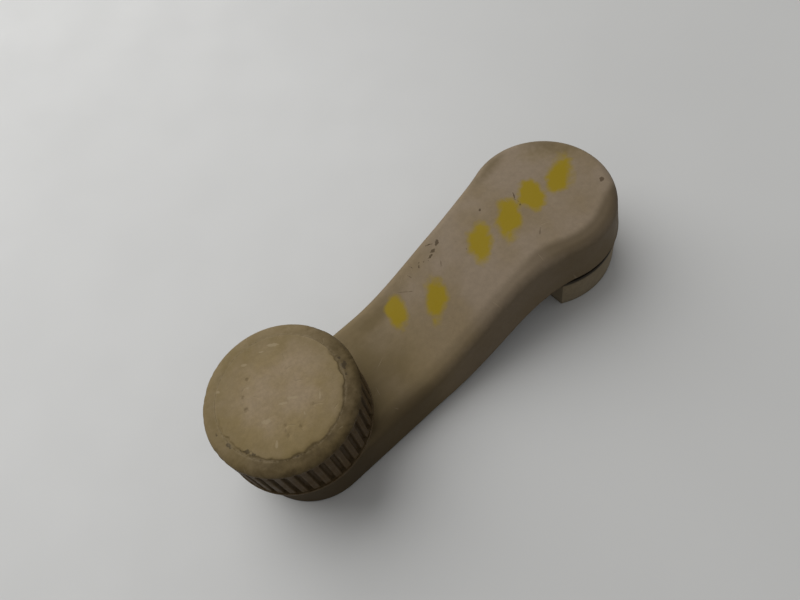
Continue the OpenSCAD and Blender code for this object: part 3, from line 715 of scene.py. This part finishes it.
def armPlastic():
    f, marks = armFinish, armPatches
    material, tree, body, place = startMaterial("armPlastic", Specular_IOR_Level=0.1)
    where = partsOf(tree, place)
    colour = plasticTone(tree, place, f)
    edgesAndHollows = edgeAndHollowOf(tree, place, f)
    # the sides are darker than the top: dirt and painted shade, by how far up a face looks
    upright = partsOf(tree, put(tree, "TexCoord", {}).outputs["Normal"])[2]
    ragged = mottle(tree, place, f["raggedScale"], -f["ragged"], f["ragged"], 4.0)
    steep = remap(tree, maths(tree, "ADD", upright, ragged), *f["steep"])
    colour = blend(tree, times(tree, steep, f["sideShadeSoil"]), colour, f["shadeAndSoil"])
    # painted shade along the near edge of the top
    colour = blend(tree, nearEdgeShadeShare(tree, where), colour, f["shadeAndSoil"])
    yellow = overRun(tree, where[0], f["yellowRun"], (0.0, f["yellowShare"]))
    colour = blend(tree, yellow, colour, f["yellowed"])
    colour = patches(tree, place, colour, marks["yellowEdge"])
    # painted shadow of the knob and dirt, growing towards the arm's end, more on the sides
    share = maths(tree, "ADD", f["knobShadowAndDirtOnTop"], times(tree, steep, f["knobShadowAndDirtOnSides"]))
    colour = blend(tree, times(tree, overRun(tree, where[0], f["knobShadowAndDirtRun"]), share), colour, f["knobShadowAndDirt"])
    # stains, and painted shadow of the knob at the arm's end
    colour = patches(tree, place, colour, marks["stainsAndKnobShade"])
    colour = patches(tree, place, colour, marks["edgeShadeAndDirt"])
    colour = blend(tree, times(tree, edgesAndHollows["Edge"], f["edgeWorn"]), colour, f["worn"])
    # painted shade and dirt in the hollows
    colour = blend(tree, times(tree, edgesAndHollows["Hollow"], f["hollowShadeGrime"]), colour, f["grimeAndShade"])
    for kind in ("dabs", "scuffs", "dents"):
        colour = patches(tree, place, colour, marks[kind])
    small = use(tree, nicks, {"Place": place, **f["nicks"]})["Mask"]
    colour = blend(tree, times(tree, small, f["nickWorn"]), colour, f["worn"])
    tree.links.new(colour, body.inputs["Base Color"])
    glossAndGrain(tree, body, place, f, small)
    return material


# The knob's plastic: the grip and the disc share it, with their own heights of dirt and painted shade

knobFinish = {
    "fresh": (0.258, 0.195, 0.12), "stained": (0.222, 0.164, 0.08), "stainScale": 70.0, "flecks": 0.08,
    "olive": (0.15, 0.109, 0.04), "oliveRun": (7.0, 16.5), "oliveShare": 0.65, "oliveHeight": 0.4,
    # one side, the one away from the lamp, is darker with dirt and painted shade: the line between the sides
    # slopes, and the change takes this far either way
    "shadeAndSoil": (0.058, 0.039, 0.016), "shadeSoilSlope": 0.35, "shadeSoilRun": 11.0, "shadeSoilShare": (0.1, 1.0),
    # by height: on the shoulder down towards the flutes, on the disc only down in the chips
    # the hollow amounts on grip and disc are painted shade and dirt
    "gripShadeSoil": (knob["top"] - 0.3, knob["fluteTop"] + 0.4), "gripShare": (0.85, 1.0), "gripShadeGrime": 0.12,
    "faceShadeSoil": (knob["top"] - 0.02, knob["top"] - 0.18), "faceShare": (0.0, 0.85), "faceShadeGrime": 0.03,
    "unevenScale": 420.0, "uneven": (0.7, 1.0),
    # the fluted band is darker all round, from just under the shoulder down
    "band": (0.053, 0.031, 0.0105), "bandRun": (knob["fluteTop"] + 0.9, knob["fluteTop"] - 0.6),
    # the last amount is extra painted shade and dirt in the flute grooves
    "bandLeast": 0.35, "bandUneven": 0.6, "bandShadeGrime": 0.6,
    "grimeAndShade": (0.03, 0.021, 0.011), "hollowSize": 2.2,
    "worn": (0.31, 0.245, 0.15), "edgeSize": 0.7, "edgeWorn": 0.3, "nickWorn": 0.15,
    "nicks": {"Cell": 260.0, "Length": 0.3, "Width": 0.05, "Share": 0.22},
    "gloss": (0.48, 0.66), "glossScale": 220.0,
    "grain": (2200.0, 3.0), "grainDepth": 0.06, "grainStrength": 0.7, "nickDepth": 1.0,
}

# Each patch: x and y from the axis, half length, half width, turn in degrees
knobPatches = {
    "smudges": {"paint": knobFinish["grimeAndShade"], "strength": 0.7, "softness": 0.7, "grain": 700.0,
                "height": 0.0, "ragged": 1.0,
                "at": [(13.4, 6.4, 1.7, 0.5, 118), (12.2, 8.6, 0.7, 0.4, 60), (-15.5, 5.2, 1.2, 0.7, 70),
                       (-14.5, 7.3, 0.5, 0.5, 0), (-15.9, 2.6, 0.5, 0.35, 90), (16.3, -3.4, 1.6, 0.3, 80),
                       (15.9, 1.2, 1.1, 0.3, 95), (-12.6, 9.8, 0.7, 0.4, 130), (5.6, 14.6, 0.9, 0.3, 160)]},
    "dents": {"paint": (0.1, 0.07, 0.033), "strength": 0.4, "softness": 0.7, "grain": 700.0,
              "height": 0.3, "ragged": 0.7,
              "at": [(x, y, size, 0.7 * size, 40) for x, y, size in knobWear["dents"]]},
    "nicks": {"paint": knobFinish["worn"], "strength": 0.55, "softness": 0.6, "grain": 700.0,
              "height": 0.3, "ragged": 0.4,
              "at": [(-6.6, -11.4, 1.8, 0.45, -40), (-3.2, -12.0, 0.9, 0.3, -40),
                     (1.7, -12.1, 0.8, 0.35, -35), (10.4, -11.2, 0.7, 0.35, -60),
                     (-7.2, 6.6, 1.4, 0.3, -130), (-1.8, 3.0, 1.3, 0.5, -40), (0.6, 2.6, 1.1, 0.4, -35),
                     (5.8, 3.4, 1.3, 0.7, -30), (-1.6, 8.0, 0.6, 0.3, -120), (4.6, -6.6, 0.6, 0.4, -40),
                     (7.6, 9.4, 1.0, 0.3, -130)]},
}


def onKnob(kind):  # the same patches, placed on the knob's top
    height = knob["top"] + kind["height"]
    return {**kind, "at": [(knobX + x, y, height, *size, kind["ragged"]) for x, y, *size in kind["at"]]}


def knobPlastic(name, part):  # part is grip or face
    f, face = knobFinish, part == "face"
    material, tree, body, place = startMaterial(name, Specular_IOR_Level=0.1)
    where = partsOf(tree, place)
    colour = plasticTone(tree, place, f)
    edgesAndHollows = edgeAndHollowOf(tree, place, f)
    uneven = mottle(tree, place, f["unevenScale"], *f["uneven"], 4.0)
    centre = (knobX * mm, 0, (knob["top"] + f["oliveHeight"]) * mm)
    fromAxis = put(tree, "VectorMath", {0: place, 1: centre}, operation="DISTANCE").outputs["Value"]
    outer = overRun(tree, fromAxis, f["oliveRun"], (0.0, f["oliveShare"]))
    colour = blend(tree, times(tree, outer, uneven), colour, f["olive"])
    sideways = maths(tree, "SUBTRACT", where[1], times(tree, where[0], f["shadeSoilSlope"]))
    middle = -f["shadeSoilSlope"] * knobX
    nearSideShadeSoil = overRun(tree, sideways, (middle - f["shadeSoilRun"], middle + f["shadeSoilRun"]), f["shadeSoilShare"])
    height = overRun(tree, where[2], f[part + "ShadeSoil"], f[part + "Share"])
    # the near side, away from the lamp, darker with dirt and painted shade
    colour = blend(tree, times(tree, times(tree, nearSideShadeSoil, height), uneven), colour, f["shadeAndSoil"])
    hollowShadeGrime = f[part + "ShadeGrime"]
    if not face:
        low = overRun(tree, where[2], f["bandRun"])
        bandAmount = maths(tree, "ADD", f["bandLeast"], times(tree, uneven, f["bandUneven"]))
        colour = blend(tree, times(tree, low, bandAmount), colour, f["band"])
        hollowShadeGrime = maths(tree, "ADD", hollowShadeGrime, times(tree, low, f["bandShadeGrime"]))
    # painted shade and dirt in the hollows, heavier in the flute grooves
    colour = blend(tree, times(tree, edgesAndHollows["Hollow"], hollowShadeGrime), colour, f["grimeAndShade"])
    colour = patches(tree, place, colour, onKnob(knobPatches["smudges"]))
    colour = blend(tree, times(tree, edgesAndHollows["Edge"], f["edgeWorn"]), colour, f["worn"])
    if face:
        colour = patches(tree, place, colour, onKnob(knobPatches["dents"]))
        colour = patches(tree, place, colour, onKnob(knobPatches["nicks"]))
    small = use(tree, nicks, {"Place": place, **f["nicks"]})["Mask"]
    colour = blend(tree, times(tree, small, f["nickWorn"]), colour, f["worn"])
    tree.links.new(colour, body.inputs["Base Color"])
    glossAndGrain(tree, body, place, f, small)
    return material


carrierFinish = {
    "fresh": (0.21, 0.17, 0.115), "stained": (0.175, 0.138, 0.085), "stainScale": 80.0, "flecks": 0.1,
    # the grime colour and hollow amount are painted shade and dirt in hollows
    "grimeAndShade": (0.04, 0.035, 0.025), "hollowSize": 4.0, "hollowShadeGrime": 0.6,
    "worn": (0.22, 0.19, 0.14), "edgeSize": 0.8, "edgeWorn": 0.3,
    "slitShade": (0.012, 0.009, 0.006), "slitShadeShare": 0.9, "slitShadeRun": (9.2, 10.3),  # painted shade in the slit under the cover's edge
    "grain": (1800.0, 3.0), "grainDepth": 0.06, "grainStrength": 0.6,
}


def carrierPlastic():
    f = carrierFinish
    material, tree, body, place = startMaterial("carrierPlastic", Roughness=0.6, Specular_IOR_Level=0.1)
    colour = plasticTone(tree, place, f)
    edgesAndHollows = edgeAndHollowOf(tree, place, f)
    # painted shade and dirt in the hollows
    colour = blend(tree, times(tree, edgesAndHollows["Hollow"], f["hollowShadeGrime"]), colour, f["grimeAndShade"])
    colour = blend(tree, times(tree, edgesAndHollows["Edge"], f["edgeWorn"]), colour, f["worn"])
    # painted shade in the slit, on the boss's side just under the cover's edge
    slitShade = overRun(tree, partsOf(tree, place)[2], f["slitShadeRun"])
    colour = blend(tree, times(tree, slitShade, f["slitShadeShare"]), colour, f["slitShade"])
    tree.links.new(colour, body.inputs["Base Color"])
    glossAndGrain(tree, body, place, f)
    return material


bushFinish = {
    "fresh": (0.62, 0.58, 0.48), "stained": (0.5, 0.45, 0.33), "stainScale": 160.0, "flecks": 0.05,
    "grimeAndShade": (0.12, 0.1, 0.07), "edgeSize": 0.6, "hollowSize": 2.0, "hollowShadeGrime": 0.5,
    "grain": (1500.0, 2.0), "grainDepth": 0.03, "grainStrength": 0.5,
}


def bushPlastic():
    f = bushFinish
    material, tree, body, place = startMaterial("bushPlastic", Roughness=0.35)
    edgesAndHollows = edgeAndHollowOf(tree, place, f)
    colour = plasticTone(tree, place, f)
    # painted shade and dirt in the hollows
    colour = blend(tree, times(tree, edgesAndHollows["Hollow"], f["hollowShadeGrime"]), colour, f["grimeAndShade"])
    tree.links.new(colour, body.inputs["Base Color"])
    glossAndGrain(tree, body, place, f)
    return material


# Metals: one recipe, each with its own tone, roughness, lay (small numbers draw the grain out) and rust

metals = {
    "steel": {"name": "steel", "tone": (0.5, 0.5, 0.5), "dull": (0.36, 0.35, 0.33), "rough": 0.38,
              "lay": (0.08, 1, 1), "rust": 0.35},
    "spring_steel": {"name": "springSteel", "tone": (0.3, 0.3, 0.32), "dull": (0.2, 0.19, 0.18),
                     "rough": 0.34, "lay": (1, 0.1, 1), "rust": 0.25},
    "insert_metal": {"name": "insertMetal", "tone": (0.56, 0.55, 0.53), "dull": (0.42, 0.41, 0.39),
                     "rough": 0.42, "lay": (1, 1, 1), "rust": 0.1},
}
metalAge = {
    "rust": (0.1, 0.055, 0.03), "edgeSize": 0.6, "hollowSize": 3.0, "hollowRust": 0.6,
    "smoother": 0.08, "rougher": 0.1, "rustRough": 0.3, "rustDull": 0.8,
    # noise: scale, detail and roughness, and the values between which a mark sets in
    "blotch": (320.0, 5.0, 0.65), "blotchFrom": (0.42, 0.62),
    "stain": (700.0, 5.0, 0.7), "stainFrom": (0.52, 0.66),
    "grain": (1400.0, 4.0, 0.6), "grainDepth": 0.02, "grainStrength": 0.5,
}


def metal(name, tone, dull, rough, lay, rust):
    age = metalAge
    material, tree, body, place = startMaterial(name, Metallic=1.0, Roughness=rough)
    drawn = put(tree, "VectorMath", {0: place, 1: lay}, operation="MULTIPLY").outputs[0]
    grain = noiseAt(tree, drawn, *age["grain"])
    blotch = remap(tree, noiseAt(tree, place, *age["blotch"]), *age["blotchFrom"])
    edgesAndHollows = edgeAndHollowOf(tree, place, age)
    stain = times(tree, remap(tree, noiseAt(tree, place, *age["stain"]), *age["stainFrom"]), rust)
    rusty = maths(tree, "MAXIMUM", stain, times(tree, edgesAndHollows["Hollow"], age["hollowRust"]))
    colour = blend(tree, rusty, blend(tree, blotch, tone, dull), age["rust"])
    tree.links.new(colour, body.inputs["Base Color"])
    matt = remap(tree, grain, 0.3, 0.7, rough - age["smoother"], rough + age["rougher"])
    matt = maths(tree, "ADD", matt, times(tree, stain, age["rustRough"]), True)
    tree.links.new(matt, body.inputs["Roughness"])
    bare = maths(tree, "SUBTRACT", 1.0, times(tree, stain, age["rustDull"]))
    tree.links.new(bare, body.inputs["Metallic"])
    bump(tree, body, grain, age["grainDepth"], age["grainStrength"])
    return material


finishes = {
    "arm_plastic": armPlastic(),
    "carrier_plastic": carrierPlastic(),
    "knob_plastic": knobPlastic("knobPlastic", "grip"),
    **{slot: metal(**values) for slot, values in metals.items()},
    "bush_plastic": bushPlastic(),
}
faceFinish = knobPlastic("knobFace", "face")
print("materials made:", len(finishes) + 1)

# Every CAD piece takes the finish of its slot, and these get their sharp edges broken, in millimetres

edgeBreak = {"arm_carrier": 0.25, "core_strip": 0.2, "drive_insert": 0.12, "retaining_clip": 0.12,
             "retaining_ring": 0.06, "backing_washer": 0.08, "thrust_washer": 0.08}
for row in frame["record"]["subparts"]:
    node = nodes[row["node"]]
    node.data.materials.clear()
    node.data.materials.append(finishes[row["material_slot"]])
    if row["node"] in edgeBreak:
        soften = node.modifiers.new("brokenEdges", "BEVEL")
        soften.width = edgeBreak[row["node"]] * mm
        soften.segments = 2
        soften.limit_method = "ANGLE"
        soften.angle_limit = math.radians(40)
        soften.harden_normals = True

dressed = [
    (armCover(), "handle", "arm_plastic", "arm_cover", finishes["arm_plastic"]),
    (knobGrip(), "knob", "knob_plastic", "knob_grip", finishes["knob_plastic"]),
    (knobCap(), "knob", "knob_plastic", "knob_cap", faceFinish),
]
for piece, body, slotName, cadNode, finish in dressed:
    piece.data.materials.clear()
    piece.data.materials.append(finish)
    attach(piece, body)
    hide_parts(cadNode)
    print("made", piece.name, len(piece.data.vertices), "points")


# Floor, light and camera, in metres

studio = {
    "floorColour": (0.535, 0.535, 0.525), "floorTone": (0.985, 1.015), "toneScale": 9.0,
    "floorGloss": (0.38, 0.46), "glossScale": 40.0, "floorSize": 3.0,
    "restX": 10.8 * mm,  # the boss's straight edge
    "lampPower": 14.8, "lampSize": 1.65, "lampAway": 1.2, "lampFrom": (0.08, -0.82, 0.88),
    "skyPower": 0.34, "backdrop": (0.55, 0.55, 0.54),
}


def makeFloor():  # the handle rests on the boss's straight edge and the arm's end, so it leans a little
    endBox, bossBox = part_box("arm_cover"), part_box("arm_carrier")
    restX, half = studio["restX"], studio["floorSize"] / 2
    slope = (endBox[0].z - bossBox[0].z) / (endBox[1].x - restX)
    plan = ((-half, -half), (half, -half), (half, half), (-half, half))
    corners = [(x, y, slope * (x - restX)) for x, y in plan]
    mesh = bpy.data.meshes.new("floor")
    mesh.from_pydata(corners, [], [(0, 1, 2, 3)])
    material, tree, body, place = startMaterial("floorCoat", Specular_IOR_Level=0.5)
    tone = mottle(tree, place, studio["toneScale"], *studio["floorTone"], 4.0, 0.55)
    gloss = mottle(tree, place, studio["glossScale"], *studio["floorGloss"], 4.0, 0.55)
    colour = blend(tree, 1.0, studio["floorColour"], grey(tree, tone), "MULTIPLY")
    tree.links.new(colour, body.inputs["Base Color"])
    tree.links.new(gloss, body.inputs["Roughness"])
    mesh.materials.append(material)
    addObject("floor", mesh)


def makeLight():
    lamp = bpy.data.lights.new("window", "AREA")
    lamp.shape = "DISK"
    lamp.size = studio["lampSize"]
    lamp.energy = studio["lampPower"]
    towards = Vector(studio["lampFrom"]).normalized()
    lampObject = addObject("window", lamp)
    lampObject.location = Vector((knobX * mm / 2, 0, 0)) + towards * studio["lampAway"]
    lampObject.rotation_mode = "QUATERNION"
    lampObject.rotation_quaternion = towards.to_track_quat("Z", "Y")
    world = bpy.data.worlds.new("room")
    bpy.context.scene.world = world
    world.use_nodes = True
    tree = world.node_tree
    tree.nodes.clear()
    path = tree.nodes.new("ShaderNodeLightPath")
    sky = put(tree, "Background", {"Color": (1, 1, 1, 1), "Strength": studio["skyPower"]})
    seen = put(tree, "Background", {"Color": (*studio["backdrop"], 1), "Strength": 1.0})
    direct = maths(tree, "MAXIMUM", path.outputs["Is Camera Ray"], path.outputs["Is Glossy Ray"])
    direct = maths(tree, "MAXIMUM", direct, path.outputs["Is Transmission Ray"])
    choice = put(tree, "MixShader", {0: direct, 1: sky.outputs[0], 2: seen.outputs[0]})
    tree.links.new(choice.outputs[0], tree.nodes.new("ShaderNodeOutputWorld").inputs[0])


# Where the photo was taken from: degrees round the point aimed at, and focal length over picture width
photoView = {"azimuth": 152.94, "elevation": 60.05, "roll": -16.64, "distance": 0.20603,
             "aim": (0.042933, -0.016328, 0.0), "focal": 680.57 / 800, "nearest": 0.01}


def makeCamera():
    v = photoView
    a, e = math.radians(v["azimuth"]), math.radians(v["elevation"])
    back = Vector((math.sin(a) * math.cos(e), -math.cos(a) * math.cos(e), math.sin(e)))
    right = Vector((0, 0, 1)).cross(back).normalized()
    up = back.cross(right)
    turn = Matrix((right, up, back)).transposed() @ Matrix.Rotation(math.radians(v["roll"]), 3, "Z")
    lens = bpy.data.cameras.new("photoCamera")
    lens.sensor_width = 36.0
    lens.lens = v["focal"] * lens.sensor_width
    lens.clip_start = v["nearest"]
    camera = addObject("photoCamera", lens)
    camera.matrix_world = Matrix.Translation(Vector(v["aim"]) + back * v["distance"]) @ turn.to_4x4()
    bpy.context.scene.camera = camera


makeFloor()
makeLight()
makeCamera()
bpy.context.scene.view_settings.view_transform = "Standard"
print("floor, light and camera made")
